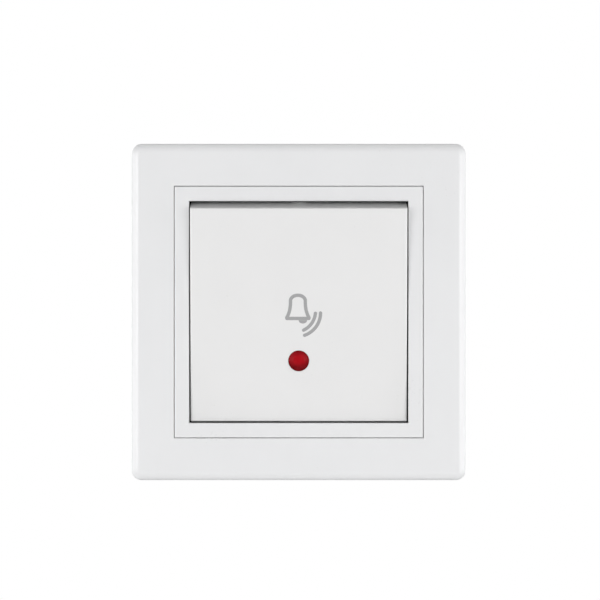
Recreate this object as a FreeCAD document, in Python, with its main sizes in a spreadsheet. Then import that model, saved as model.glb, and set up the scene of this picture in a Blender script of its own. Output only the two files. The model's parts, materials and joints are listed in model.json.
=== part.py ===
import FreeCAD, Part
import math
import os
import re

import Sketcher

# Doorbell push button for a wall box, in millimetres.
# X runs to the right, Z up, and Y from the viewer into the wall; the wall's surface is the plane Y = 0.

SIZES = {
    # Cover frame
    "plate_width": 81.0,
    "plate_height": 81.3,
    "plate_depth": 11.0,
    "plate_corner": 2.6,
    "plate_round": 2.0,
    "plate_skin": 2.2,
    "plate_wall": 2.2,
    "seam_gap": 0.15,
    "well_wall": 1.5,
    "well_depth": 6.0,
    "ledge_reach": 1.4,
    "ledge_depth": 2.8,
    "ledge_thick": 1.2,
    "plate_rib": 1.0,
    "plate_rib_depth": 5.4,
    "plate_rib_place": 18.0,
    # Inner frame
    "bezel_width": 59.9,
    "bezel_height": 60.55,
    "bezel_strip": 3.5,
    "bezel_round": 0.2,
    "bezel_lip_round": 0.12,
    "bezel_depth": 7.0,
    "bezel_gap": 0.3,
    "skirt_step": 0.8,
    "leg_width": 4.0,
    "leg_thick": 1.1,
    "leg_place": 9.0,
    "leg_gap": 0.2,
    "hook_reach": 0.8,
    "hook_thick": 1.1,
    # Rocker key and its motion
    "key_side_gap": 0.35,
    "key_end_gap": 1.055,
    "key_proud": 0.5,
    "key_rim_rise": 1.24,
    "key_flare": 8.0,
    "key_skin": 1.8,
    "key_wall": 1.6,
    "key_round": 0.3,
    "key_rib": 1.0,
    "key_rib_depth": 1.0,
    "pivot_rise": 2.26,
    "rest_tilt": 4.5,
    "press_angle": 8.0,
    # Indicator lens
    "lens_drop": 11.1,
    "lens_radius": 2.5,
    "lens_length": 3.0,
    "lens_flange": 3.2,
    "lens_flange_thick": 1.0,
    "lens_crown": 0.25,
    "lens_gap": 0.05,
    # Carrier of the key
    "carrier_width": 28.0,
    "carrier_height": 34.0,
    "carrier_rise": 3.34,
    "carrier_thick": 1.8,
    "cheek_thick": 1.8,
    "cheek_round": 2.4,
    "cheek_foot": 4.8,
    "cheek_room": 3.6,
    "clip_across": 10.5,
    "clip_up": 8.0,
    "clip_width": 4.0,
    "clip_thick": 1.4,
    "clip_gap": 0.2,
    "clip_hook": 0.7,
    "lamp_window": 4.0,
    "nose_length": 1.6,
    "nose_radius": 1.5,
    "nose_width": 3.0,
    "trunnion_radius": 1.5,
    "running_gap": 0.05,
    "stop_gap": 0.1,
    # Mounting bridge
    "bridge_gap": 0.6,
    "bridge_thick": 1.0,
    "bridge_cut": 9.0,
    "window_side": 0.9,
    "window_end": 4.0,
    "box_screw_spacing": 60.0,
    "box_slot_radius": 1.8,
    "box_slot_length": 5.4,
    "claw_offset": 0.7,
    "claw_hole_radius": 1.7,
    # Housing, front and base
    "housing_size": 43.0,
    "housing_chamfer": 8.0,
    "housing_depth": 24.0,
    "housing_wall": 1.6,
    "housing_bevel": 0.8,
    "housing_floor": 2.0,
    "recess_depth": 3.0,
    "recess_height": 15.0,
    "deck_thick": 1.6,
    "deck_rise": 0.4,
    "deck_gap": 0.3,
    "ear_thick": 2.8,
    "ear_round": 2.7,
    "ear_foot": 4.3,
    "ear_play": 0.3,
    "stop_inset": 1.0,
    "stop_height": 2.0,
    "stop_width": 9.0,
    "snap_width": 8.0,
    "snap_reach": 0.9,
    "guide_radius": 4.0,
    "guide_reach": 1.9,
    "chimney_radius": 3.2,
    "chimney_reach": 2.6,
    "post_inset": 7.3,
    "top_post_inset": 3.9,
    "post_radius": 2.3,
    "boss_radius": 3.1,
    "post_length": 12.4,
    "screw_radius": 1.15,
    "screw_head_radius": 2.1,
    "screw_head_thick": 1.6,
    "screw_bevel": 0.5,
    "screw_seat": 2.6,
    "screw_bite": 6.0,
    # Plunger, contacts and return spring
    "plunger_inset": 10.5,
    "stem_radius": 2.5,
    "stem_bevel": 0.25,
    "block_width": 8.0,
    "block_height": 7.0,
    "block_thick": 2.6,
    "block_gap": 0.3,
    "bar_width": 16.0,
    "bar_height": 5.0,
    "bar_thick": 0.8,
    "bar_round": 1.2,
    "pin_radius": 1.6,
    "pin_length": 2.0,
    "stud_place": 6.0,
    "stud_radius": 1.2,
    "stud_height": 0.6,
    "stud_bevel": 0.2,
    "contact_spare": 0.07,
    "strip_thick": 1.0,
    "strip_height": 5.0,
    "strip_inner": 4.6,
    "strip_round": 1.0,
    "spring_radius": 2.7,
    "spring_wire": 0.3,
    "spring_turns": 4.0,
    "spring_seat_radius": 3.9,
    "spring_spigot_radius": 2.1,
    "spring_spigot": 2.4,
    "spring_length": 6.8,
    # Terminals
    "terminal_inset": 9.5,
    "terminal_width": 8.0,
    "terminal_bevel": 0.35,
    "terminal_length": 9.0,
    "wire_radius": 1.7,
    "entry_radius": 2.2,
    "clamp_radius": 1.7,
    "clamp_head_radius": 2.0,
    "clamp_head_thick": 1.8,
    "clamp_bevel": 0.35,
    "clamp_length": 4.4,
    "pocket_wall": 1.05,
    "pocket_depth": 6.0,
    # Indicator lamp
    "lamp_radius": 2.1,
    "lamp_length": 11.0,
    "lamp_round": 1.7,
    "lamp_gap": 0.8,
    "lead_radius": 0.3,
    "lead_across": 1.1,
    "lead_bend": 2.0,
    "lead_inset": 1.0,
    "resistor_radius": 1.25,
    "resistor_waist": 1.05,
    "resistor_length": 6.5,
    "resistor_cap": 1.3,
    "resistor_drop": 4.5,
    # Claws
    "claw_pivot": 17.5,
    "claw_length": 13.5,
    "claw_thick": 0.9,
    "claw_inner": 6.6,
    "claw_depth": 3.6,
    "claw_round": 2.0,
    "claw_nose": 1.2,
    "claw_heel": 9.4,
    "claw_tip": 0.4,
    "claw_shoulder": 5.4,
    "claw_tooth": 0.6,
    "claw_tooth_pitch": 1.5,
    "nut_width": 4.4,
    "nut_length": 4.0,
    "nut_height": 6.0,
    "nut_trunnion": 1.0,
    "claw_screw_radius": 1.5,
    "claw_screw_length": 22.0,
    "claw_head_radius": 2.6,
    "claw_head_thick": 1.9,
    "claw_screw_bevel": 0.45,
}

doc = FreeCAD.newDocument("doorbell_push")
sheet = doc.addObject("Spreadsheet::Sheet", "Sizes")
for row, (alias, number) in enumerate(SIZES.items(), 1):
    sheet.set(f"A{row}", alias)
    sheet.set(f"B{row}", str(number))
    sheet.setAlias(f"B{row}", alias)
doc.recompute()

# Places along Y that several pieces share, as formulas of the sheet's sizes
FACE = "(-plate_depth)"
PIVOT = "(-pivot_rise)"
BRIDGE_FRONT = "(-bridge_thick)"
DECK_FRONT = "(-bridge_thick - deck_rise)"
GUIDE_END = "(deck_thick + guide_reach)"
BLOCK_FRONT = f"({GUIDE_END} + block_gap)"
BAR_FRONT = f"({BLOCK_FRONT} + block_thick)"
BAR_BACK = f"({BAR_FRONT} + bar_thick)"
FLOOR_FRONT = "(housing_depth - housing_floor)"

# Places in the key's own frame, whose origin is the pivot
KEY_FACE = "(pivot_rise - plate_depth - key_proud)"
SKIN_BACK = f"({KEY_FACE} + key_skin)"
LENS_BACK = f"({KEY_FACE} + lens_length + lens_crown)"
CARRIER_FRONT = "(-carrier_rise - carrier_thick)"
CARRIER_BACK = "(-carrier_rise)"
NOSE_CENTRE = f"({CARRIER_BACK} + nose_length)"

# Widths, heights and places seen from the front
OPENING_WIDTH = "(bezel_width - 2 * bezel_strip)"
OPENING_HEIGHT = "(bezel_height - 2 * bezel_strip)"
KEY_WIDTH = f"({OPENING_WIDTH} - 2 * key_side_gap)"
KEY_HEIGHT = f"({OPENING_HEIGHT} - 2 * key_end_gap)"
WELL_WIDTH = "(bezel_width + 2 * seam_gap)"
WELL_HEIGHT = "(bezel_height + 2 * seam_gap)"
SKIRT_WIDTH = f"({WELL_WIDTH} - 2 * ledge_reach - 2 * bezel_gap)"
SKIRT_HEIGHT = f"({WELL_HEIGHT} - 2 * ledge_reach - 2 * bezel_gap)"
BRIDGE_WIDTH = "(plate_width - 2 * plate_wall - 2 * bridge_gap)"
BRIDGE_HEIGHT = "(plate_height - 2 * plate_wall - 2 * bridge_gap)"
WINDOW_WIDTH = "(carrier_width + 2 * (ear_play + ear_thick + window_side))"
WINDOW_HEIGHT = "(carrier_height + 2 * window_end)"
STOP_PLACE = "(carrier_height / 2 - stop_inset)"
NOSE_RISE = "(housing_size / 2 - plunger_inset)"
TERMINAL_PLACE = "(housing_size / 2 - terminal_inset)"
POST_PLACE = "(housing_size / 2 - post_inset)"
TOP_POST = "(housing_size / 2 - top_post_inset)"
CLAW_PLACE = "(housing_size / 2 + claw_offset)"
LEAD_SIDE = f"({TERMINAL_PLACE} - lead_inset)"


def nose_back(angle):
    """Y of the rear of the carrier's nose when the key leans by the angle."""
    return (f"({PIVOT} + {NOSE_CENTRE} * cos(({angle}) * 1 deg)"
            f" - {NOSE_RISE} * sin(({angle}) * 1 deg) + nose_radius)")


REST = "rest_tilt"
PRESSED = "rest_tilt - press_angle"
STEM_FRONT = f"({nose_back(REST)} + running_gap)"
TRAVEL = f"({nose_back(PRESSED)} - {nose_back(REST)})"
STRIP_FRONT = f"({BAR_BACK} + 2 * stud_height + {TRAVEL} + contact_spare)"
TERMINAL_FRONT = f"({STRIP_FRONT} + strip_thick)"
TERMINAL_BACK = f"({TERMINAL_FRONT} + terminal_length)"
SPRING_SEAT = f"({BAR_BACK} + spring_length)"
LAMP_FRONT = (f"({PIVOT} + {LENS_BACK} * cos({REST} * 1 deg)"
              f" + (lens_drop + lens_radius) * sin({REST} * 1 deg) + lamp_gap)")
LAMP_BACK = f"({LAMP_FRONT} + lamp_length)"
LEAD_DEPTH = f"({TERMINAL_FRONT} + wire_radius)"

TINY = 1e-4
SIDES = (("left", -1), ("right", 1))
parts = {}


def formula(text):
    """Put the sheet's name before each size in a formula."""
    def full_name(word):
        return "Sizes." + word[0] if word[0] in SIZES else word[0]
    return re.sub(r"[a-z_]+", full_name, str(text))


def value(text):
    """The number that a formula gives now."""
    return float(sheet.evalExpression(formula(text)))


# Sketches, features and placements

def new_body(name):
    """An empty body whose label names its file."""
    body = doc.addObject("PartDesign::Body", name)
    body.Label = name
    parts[name] = body
    return body


def origin_item(body, role):
    """The body's own origin plane or axis with this role."""
    return next(item for item in body.Origin.OriginFeatures if item.Role == role)


def new_sketch(body, plane, level):
    """A sketch on one of the body's planes, moved to a level along that plane's axis."""
    sketch = body.newObject("Sketcher::SketchObject", "Outline")
    sketch.AttachmentSupport = (origin_item(body, plane + "_Plane"), [""])
    sketch.MapMode = "FlatFace"
    sign = "-" if plane == "XZ" else ""
    sketch.setExpression("AttachmentOffset.Base.z", formula(f"{sign}({level})"))
    return sketch


def tie(sketch, kind, item, point, text):
    """Bind one coordinate of a sketch point, or a radius, to a formula."""
    number = value(text)
    where = (item, number) if kind == "Radius" else (-1, 1, item, point, number)
    index = sketch.addConstraint(Sketcher.Constraint(kind, *where))
    sketch.setExpression(f"Constraints[{index}]", formula(text))


def polygon(points):
    """A closed outline with its corners at pairs of formulas."""
    def draw(sketch):
        corners = [FreeCAD.Vector(value(across), value(up), 0) for across, up in points]
        first = sketch.GeometryCount
        for here, there in zip(corners, corners[1:] + corners[:1]):
            sketch.addGeometry(Part.LineSegment(here, there))
        for index, (across, up) in enumerate(points):
            line = first + index
            line_before = first + (index - 1) % len(points)
            sketch.addConstraint(Sketcher.Constraint("Coincident", line_before, 2, line, 1))
            tie(sketch, "DistanceX", line, 1, across)
            tie(sketch, "DistanceY", line, 1, up)
    return draw


def span(left, right, low, high):
    """A rectangle between two pairs of formulas."""
    return polygon([(left, low), (right, low), (right, high), (left, high)])


def centred(width, height, across="0", up="0"):
    """A rectangle of a width and height about a centre."""
    return span(f"{across} - ({width}) / 2", f"{across} + ({width}) / 2",
                f"{up} - ({height}) / 2", f"{up} + ({height}) / 2")


def side_span(side, inner, outer, low, high):
    """A rectangle on the left (-1) or right (1), between two distances from the middle."""
    return span(*sorted((f"{side} * ({inner})", f"{side} * ({outer})"), key=value), low, high)


def row_span(side, left, right, inner, outer):
    """A rectangle below (-1) or above (1), between two distances from the middle."""
    return span(left, right, *sorted((f"{side} * ({inner})", f"{side} * ({outer})"), key=value))


def circle(radius, across="0", up="0"):
    """A circle about a centre."""
    def draw(sketch):
        centre = FreeCAD.Vector(value(across), value(up), 0)
        ring = sketch.addGeometry(Part.Circle(centre, FreeCAD.Vector(0, 0, 1), value(radius)))
        tie(sketch, "DistanceX", ring, 3, across)
        tie(sketch, "DistanceY", ring, 3, up)
        tie(sketch, "Radius", ring, None, radius)
    return draw


def finish_feature(body, feature, adds):
    """Make the feature the body's tip and see that it added or removed material."""
    before = body.Shape.Volume if adds is not None and body.Shape.Solids else 0
    body.Tip = feature
    doc.recompute()
    change = body.Shape.Volume - before
    if adds is not None and (change < TINY if adds else change > -TINY):
        raise RuntimeError(f"{body.Label}: {feature.Name} changed the volume by {change:.4f}")


def extrude(body, kind, plane, start, end, *outlines):
    """Pad or pocket outlines from one level to a higher one along the plane's axis."""
    sketch = new_sketch(body, plane, start)
    for outline in outlines:
        outline(sketch)
    feature = body.newObject("PartDesign::" + kind, kind)
    feature.Profile = (sketch, [""])
    feature.setExpression("Length", formula(f"({end}) - ({start})"))
    feature.Reversed = (kind == "Pad") == (plane == "XZ")
    finish_feature(body, feature, kind == "Pad")
    return feature


def pad(body, plane, start, end, *outlines):
    """Add material between two levels."""
    return extrude(body, "Pad", plane, start, end, *outlines)


def pocket(body, plane, start, end, *outlines):
    """Cut material away between two levels."""
    return extrude(body, "Pocket", plane, start, end, *outlines)


def revolve(body, plane, axis, points, kind="Revolution"):
    """Turn a closed profile all the way round one of the body's axes."""
    sketch = new_sketch(body, plane, "0")
    polygon(points)(sketch)
    feature = body.newObject("PartDesign::" + kind, kind)
    feature.Profile = (sketch, [""])
    feature.ReferenceAxis = (origin_item(body, axis + "_Axis"), [""])
    feature.Angle = 360
    finish_feature(body, feature, kind == "Revolution")


def dress(body, kind, size, picks):
    """Round or bevel the edges that the test picks."""
    names = [f"Edge{number}" for number, edge in enumerate(body.Shape.Edges, 1) if picks(edge)]
    if not names:
        raise RuntimeError(f"{body.Label}: no edge to dress")
    base = body.Tip
    feature = body.newObject("PartDesign::" + kind, kind)
    feature.Base = (base, names)
    feature.setExpression("Radius" if kind == "Fillet" else "Size", formula(size))
    finish_feature(body, feature, None)


def lies_in(axis, level):
    """Test for edges that lie wholly at one level along an axis."""
    def test(edge):
        box = edge.BoundBox
        low, high = getattr(box, axis + "Min"), getattr(box, axis + "Max")
        return abs(low - level) < TINY and abs(high - level) < TINY
    return test


def corner_edge(half_width, half_height):
    """Test for edges along Y at the four corners of a centred rectangle."""
    def test(edge):
        box = edge.BoundBox
        thin = box.XLength < TINY and box.ZLength < TINY
        return (thin and abs(abs(box.XMin) - half_width) < TINY
                and abs(abs(box.ZMin) - half_height) < TINY)
    return test


def place(body, across="0", depth="0", up="0"):
    """Bind the body's position to formulas."""
    for axis, text in (("x", across), ("y", depth), ("z", up)):
        body.setExpression(f"Placement.Base.{axis}", formula(text))


def place_on_pivot(body):
    """Stand a piece of the key on the pivot, leaning as the spring holds it."""
    body.Placement = FreeCAD.Placement(FreeCAD.Vector(), FreeCAD.Rotation(FreeCAD.Vector(1, 0, 0), 1))
    place(body, depth=PIVOT)
    body.setExpression("Placement.Rotation.Angle", formula(REST))


# Cover frame and inner frame

def make_cover_frame():
    """Square frame: a skin with a rounded edge, an outer wall, a well wall and the ledge in it."""
    body = new_body("cover_frame")
    pad(body, "XZ", FACE, "0", centred("plate_width", "plate_height"))
    dress(body, "Fillet", "plate_corner", corner_edge(value("plate_width / 2"), value("plate_height / 2")))
    dress(body, "Fillet", "plate_round", lies_in("Y", value(FACE)))
    inner_width = "plate_width - 2 * plate_wall"
    inner_height = "plate_height - 2 * plate_wall"
    outer_width = f"({WELL_WIDTH} + 2 * well_wall)"
    outer_height = f"({WELL_HEIGHT} + 2 * well_wall)"
    ledge_back = f"{FACE} + ledge_depth + ledge_thick"
    pocket(body, "XZ", f"{FACE} + plate_skin", "0",
           centred(inner_width, inner_height), centred(outer_width, outer_height))
    pocket(body, "XZ", f"{FACE} + well_depth", "0",
           centred(f"{outer_width} + well_wall", f"{outer_height} + well_wall"))
    pocket(body, "XZ", FACE, f"{FACE} + ledge_depth", centred(WELL_WIDTH, WELL_HEIGHT))
    pocket(body, "XZ", f"{FACE} + ledge_depth", ledge_back,
           centred(f"{WELL_WIDTH} - 2 * ledge_reach", f"{WELL_HEIGHT} - 2 * ledge_reach"))
    pocket(body, "XZ", ledge_back, f"{FACE} + well_depth", centred(WELL_WIDTH, WELL_HEIGHT))
    ribs = []
    for side in (-1, 1):
        for step in (-1, 0, 1):
            low = f"{step} * plate_rib_place - plate_rib / 2"
            high = f"{step} * plate_rib_place + plate_rib / 2"
            ribs.append(row_span(side, low, high, f"{outer_height} / 2", f"({inner_height}) / 2"))
            ribs.append(side_span(side, f"{outer_width} / 2", f"({inner_width}) / 2", low, high))
    pad(body, "XZ", f"{FACE} + plate_skin", f"{FACE} + plate_rib_depth", *ribs)


def make_inner_frame():
    """Flat frame flush with the cover, a skirt round the key and four legs that hook behind the bridge."""
    body = new_body("inner_frame")
    pad(body, "XZ", FACE, f"{FACE} + ledge_depth", centred("bezel_width", "bezel_height"))
    dress(body, "Fillet", "bezel_round", lies_in("Y", value(FACE)))
    pad(body, "XZ", f"{FACE} + ledge_depth", f"{FACE} + bezel_depth", centred(SKIRT_WIDTH, SKIRT_HEIGHT))
    pocket(body, "XZ", FACE, f"{FACE} + bezel_depth", centred(OPENING_WIDTH, OPENING_HEIGHT))
    pocket(body, "XZ", f"{FACE} + ledge_depth", f"{FACE} + bezel_depth",
           centred(f"{OPENING_WIDTH} + 2 * skirt_step", f"{OPENING_HEIGHT} + 2 * skirt_step"))
    opening = lies_in("Y", value(FACE))
    reach = value(f"{OPENING_WIDTH} / 2 + bezel_strip / 2")

    def opening_rim(edge):
        box = edge.BoundBox
        return opening(edge) and max(abs(box.XMin), abs(box.XMax)) < reach
    dress(body, "Fillet", "bezel_lip_round", opening_rim)
    legs = []
    hooks = []
    outer = f"{SKIRT_HEIGHT} / 2"
    for row_side in (-1, 1):
        for column_side in (-1, 1):
            along = f"{column_side} * leg_place"
            width = (f"{along} - leg_width / 2", f"{along} + leg_width / 2")
            legs.append(row_span(row_side, *width, f"{outer} - leg_thick", outer))
            hooks.append(row_span(row_side, *width, f"{outer} - leg_thick", f"{outer} + hook_reach"))
    pad(body, "XZ", f"{FACE} + bezel_depth", "running_gap + hook_thick", *legs)
    pad(body, "XZ", "running_gap", "running_gap + hook_thick", *hooks)


# Key, lens and carrier, in the frame of the pivot

def make_rocker_key():
    """Hollow key whose upper and lower ends flare towards the rear, with lens boss, ribs and clip legs."""
    body = new_body("rocker_key")
    half = f"{KEY_HEIGHT} / 2"
    side = f"{KEY_WIDTH} / 2"
    back = "-key_rim_rise"
    flared = f"({half} + ({back} - {KEY_FACE}) * tan(key_flare * 1 deg))"
    pad(body, "YZ", f"-{side}", side,
        polygon([(KEY_FACE, f"-{half}"), (back, f"-{flared}"), (back, flared), (KEY_FACE, half)]))
    dress(body, "Fillet", "key_round", lies_in("Y", value(KEY_FACE)))
    skin_half = f"({half} - key_wall)"
    inner_flared = f"({flared} - key_wall)"
    pocket(body, "YZ", f"-{side} + key_wall", f"{side} - key_wall",
           polygon([(SKIN_BACK, f"-{skin_half}"), (back, f"-{inner_flared}"), (back, inner_flared),
                    (SKIN_BACK, skin_half)]))
    rib_back = f"{SKIN_BACK} + key_rib_depth"
    clear = "(carrier_height / 2 + key_rib)"
    ribs = [span(f"{sign} * {half} / 2 - key_rib / 2", f"{sign} * {half} / 2 + key_rib / 2",
                 f"-{skin_half}", skin_half) for sign in (-1, 1)]
    pad(body, "XZ", SKIN_BACK, rib_back, *ribs)
    cross = [span(f"-{side} + key_wall", f"{side} - key_wall",
                  f"{sign} * {clear} - key_rib / 2", f"{sign} * {clear} + key_rib / 2") for sign in (-1, 1)]
    pad(body, "XZ", SKIN_BACK, rib_back, *cross)
    bore = circle("lens_radius + lens_gap", "0", "-lens_drop")
    pocket(body, "XZ", KEY_FACE, SKIN_BACK, bore)
    boss_outer = circle("lens_flange + key_rib", "0", "-lens_drop")
    boss_inner = circle("lens_flange + lens_gap", "0", "-lens_drop")
    pad(body, "XZ", SKIN_BACK, rib_back, boss_outer, boss_inner)
    legs = []
    hooks = []
    outer = "clip_across + clip_thick"
    for column_side in (-1, 1):
        for row_side in (-1, 1):
            rows = (f"{row_side} * clip_up - clip_width / 2", f"{row_side} * clip_up + clip_width / 2")
            legs.append(side_span(column_side, "clip_across", outer, *rows))
            hooks.append(side_span(column_side, "clip_across", f"{outer} + clip_hook", *rows))
    hook_front = f"{CARRIER_BACK} + running_gap"
    pad(body, "XZ", SKIN_BACK, f"{hook_front} + clip_thick", *legs)
    pad(body, "XZ", hook_front, f"{hook_front} + clip_thick", *hooks)
    place_on_pivot(body)


def make_indicator_lens():
    """Turned lens with a low crown in front and a flange that lies behind the key's skin."""
    body = new_body("indicator_lens")
    flange_back = f"{SKIN_BACK} + lens_flange_thick"
    edge = f"{KEY_FACE} + lens_crown"
    revolve(body, "XY", "Y", [("0", KEY_FACE), ("lens_radius / 2", KEY_FACE), ("lens_radius", edge),
                              ("lens_radius", SKIN_BACK), ("lens_flange", SKIN_BACK),
                              ("lens_flange", flange_back), ("lens_radius", flange_back),
                              ("lens_radius", LENS_BACK), ("0", LENS_BACK)])
    place_on_pivot(body)
    tilt = f"{REST} * 1 deg"
    place(body, depth=f"{PIVOT} + lens_drop * sin({tilt})", up=f"-lens_drop * cos({tilt})")


def make_rocker_carrier():
    """Plate with two cheeks, trunnions, clip holes, a window for the lamp and the nose for the plunger."""
    body = new_body("rocker_carrier")
    half = "carrier_width / 2"
    pad(body, "XZ", CARRIER_FRONT, CARRIER_BACK, centred("carrier_width", "carrier_height"))
    dress(body, "Fillet", "cheek_round", corner_edge(value(half), value("carrier_height / 2")))
    for side in (-1, 1):
        start, end = sorted((f"{side} * {half}", f"{side} * ({half} - cheek_thick)"), key=value)
        pad(body, "YZ", start, end, polygon([
            (CARRIER_BACK, "-cheek_foot"), ("0", "-cheek_round"), ("0", "cheek_round"),
            (CARRIER_BACK, "cheek_foot")]))
        pad(body, "YZ", start, end, circle("cheek_round"))
        pin = sorted((f"{side} * {half}", f"{side} * ({half} + ear_play + ear_thick)"), key=value)
        pad(body, "YZ", *pin, circle("trunnion_radius"))
    pad(body, "YZ", "-nose_width / 2", "nose_width / 2", span(
        CARRIER_BACK, NOSE_CENTRE, f"{NOSE_RISE} - nose_radius", f"{NOSE_RISE} + nose_radius"))
    pad(body, "YZ", "-nose_width / 2", "nose_width / 2", circle("nose_radius", NOSE_CENTRE, NOSE_RISE))
    pocket(body, "XZ", CARRIER_FRONT, CARRIER_BACK, circle("lamp_window", "0", "-lens_drop"))
    holes = []
    for side in (-1, 1):
        for row_side in (-1, 1):
            middle = f"{row_side} * clip_up"
            holes.append(side_span(side, "clip_across - clip_gap", "clip_across + clip_thick + clip_gap",
                                   f"{middle} - clip_width / 2 - clip_gap",
                                   f"{middle} + clip_width / 2 + clip_gap"))
    pocket(body, "XZ", CARRIER_FRONT, CARRIER_BACK, *holes)
    place_on_pivot(body)


# Bridge and housing

def make_mounting_bridge():
    """Stamped steel plate: window, box screw slots, claw screw holes and slots for the frame's legs."""
    body = new_body("mounting_bridge")
    pad(body, "XZ", BRIDGE_FRONT, "0", centred(BRIDGE_WIDTH, BRIDGE_HEIGHT))
    corner = (value(f"{BRIDGE_WIDTH} / 2"), value(f"{BRIDGE_HEIGHT} / 2"))
    dress(body, "Chamfer", "bridge_cut", corner_edge(*corner))
    pocket(body, "XZ", BRIDGE_FRONT, "0", centred(WINDOW_WIDTH, WINDOW_HEIGHT))
    for side in (-1, 1):
        place_along = f"{side} * box_screw_spacing / 2"
        flat = "(box_slot_length - 2 * box_slot_radius)"
        pocket(body, "XZ", BRIDGE_FRONT, "0",
               slot(place_along, "0", flat, True), slot("0", place_along, flat, False),
               circle("claw_hole_radius", f"{side} * {CLAW_PLACE}", "0"))
    leg_slots = []
    inner = f"{SKIRT_HEIGHT} / 2 - leg_thick - leg_gap"
    outer = f"{SKIRT_HEIGHT} / 2 + hook_reach + leg_gap"
    for row_side in (-1, 1):
        for column_side in (-1, 1):
            along = f"{column_side} * leg_place"
            leg_slots.append(row_span(row_side, f"{along} - leg_width / 2 - leg_gap",
                                      f"{along} + leg_width / 2 + leg_gap", inner, outer))
    pocket(body, "XZ", BRIDGE_FRONT, "0", *leg_slots)


def slot(across, up, flat, level):
    """A slot with round ends about a centre, lying along the sketch's X if level, and else along its Y."""
    def draw(sketch):
        normal = FreeCAD.Vector(0, 0, 1)
        radius = value("box_slot_radius")
        turn = 0 if level else math.pi / 2
        shift = (f"({flat}) / 2", "0") if level else ("0", f"({flat}) / 2")
        ends = []
        for sign in (1, -1):
            centre = (f"{across} + {sign} * {shift[0]}", f"{up} + {sign} * {shift[1]}")
            start = turn - sign * math.pi / 2
            middle = FreeCAD.Vector(value(centre[0]), value(centre[1]), 0)
            arc = Part.ArcOfCircle(Part.Circle(middle, normal, radius), start, start + math.pi)
            ends.append(sketch.addGeometry(arc))
            tie(sketch, "DistanceX", ends[-1], 3, centre[0])
            tie(sketch, "DistanceY", ends[-1], 3, centre[1])
        for here, there in (ends, ends[::-1]):
            first = sketch.Geometry[here].EndPoint
            last = sketch.Geometry[there].StartPoint
            side = sketch.addGeometry(Part.LineSegment(first, last))
            sketch.addConstraint(Sketcher.Constraint("Tangent", here, 2, side, 1))
            sketch.addConstraint(Sketcher.Constraint("Tangent", side, 2, there, 1))
        tie(sketch, "Radius", ends[0], None, "box_slot_radius")
    return draw


def housing_outline(inset):
    """Square with cut corners and a recess for a claw in each side, drawn in by an inset."""
    half = f"(housing_size / 2 - {inset})"
    cut = f"(housing_size / 2 - housing_chamfer - tan(22.5 * 1 deg) * {inset})"
    deep = f"(housing_size / 2 - recess_depth - {inset})"
    mouth = f"(recess_height / 2 + {inset})"
    quarter = [(deep, "0"), (deep, mouth), (half, mouth), (half, cut), (cut, half)]
    right = [(x, f"-{z}") for x, z in reversed(quarter[1:])] + quarter[1:]
    left = [(f"-{x}", z) for x, z in reversed(right)]
    return polygon(right + left)


def screw_places():
    """Where the three housing screws stand, as pairs of formulas."""
    return [(f"-{POST_PLACE}", f"-{POST_PLACE}"), (POST_PLACE, f"-{POST_PLACE}"), ("0", TOP_POST)]


def make_housing_front():
    """Moulded deck behind the bridge: platform in its window, ears, stops, guide, chimney and posts."""
    body = new_body("housing_front")
    pad(body, "XZ", "0", "deck_thick", housing_outline("0"))
    pad(body, "XZ", DECK_FRONT, "0",
        centred(f"{WINDOW_WIDTH} - 2 * deck_gap", f"{WINDOW_HEIGHT} - 2 * deck_gap"))
    half = "carrier_width / 2"
    for side in (-1, 1):
        inner = f"{side} * ({half} + ear_play)"
        outer = f"{side} * ({half} + ear_play + ear_thick)"
        start, end = sorted((inner, outer), key=value)
        pad(body, "YZ", start, end, polygon([
            (PIVOT, "-ear_round"), (DECK_FRONT, "-ear_foot"), (DECK_FRONT, "ear_foot"),
            (PIVOT, "ear_round")]))
        pad(body, "YZ", start, end, circle("ear_round", PIVOT, "0"))
        pocket(body, "YZ", start, end, circle("trunnion_radius + running_gap", PIVOT, "0"))
        pocket(body, "XZ", DECK_FRONT, "deck_thick - deck_rise", cheek_well(side))
    for sign, angle in ((-1, REST), (1, PRESSED)):
        lean = f"({angle}) * 1 deg"
        outer_end = f"({STOP_PLACE} + stop_height / 2)"
        front = f"{PIVOT} + {CARRIER_BACK} * cos({lean}) + abs({outer_end} * sin({lean})) + stop_gap"
        pad(body, "XZ", front, DECK_FRONT,
            centred("stop_width", "stop_height", "0", f"{sign} * {STOP_PLACE}"))
        snap = f"{sign} * ({WINDOW_HEIGHT} / 2 + snap_reach / 2 - deck_gap / 2)"
        tall = "snap_reach + deck_gap"
        pad(body, "XZ", f"{DECK_FRONT} - deck_rise", f"{BRIDGE_FRONT} - running_gap",
            centred("snap_width", tall, "0", snap))
        root = f"{sign} * ({WINDOW_HEIGHT} / 2 - deck_gap - snap_reach / 2)"
        pad(body, "XZ", f"{DECK_FRONT} - deck_rise", DECK_FRONT,
            centred("snap_width", "snap_reach", "0", root))
    pad(body, "XZ", "deck_thick", GUIDE_END, circle("guide_radius", "0", NOSE_RISE))
    pocket(body, "XZ", DECK_FRONT, GUIDE_END, circle("stem_radius + running_gap", "0", NOSE_RISE))
    chimney_front = f"{DECK_FRONT} - chimney_reach"
    pad(body, "XZ", chimney_front, DECK_FRONT, circle("chimney_radius", "0", "-lens_drop"))
    pocket(body, "XZ", chimney_front, "deck_thick", circle("lamp_radius + lens_gap", "0", "-lens_drop"))
    post_end = "deck_thick + post_length"
    posts = [circle("post_radius", across, up) for across, up in screw_places()]
    pad(body, "XZ", "deck_thick", post_end, *posts)
    pilots = [circle("screw_radius + running_gap", across, up) for across, up in screw_places()]
    pocket(body, "XZ", f"{post_end} - screw_bite - deck_rise", post_end, *pilots)


def cheek_well(side):
    """Hollow in the platform that leaves room for the round end of one cheek."""
    half = "carrier_width / 2"
    return side_span(side, f"{half} - cheek_thick - ear_play", f"{half} + ear_play",
                     "-cheek_room", "cheek_room")


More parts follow.
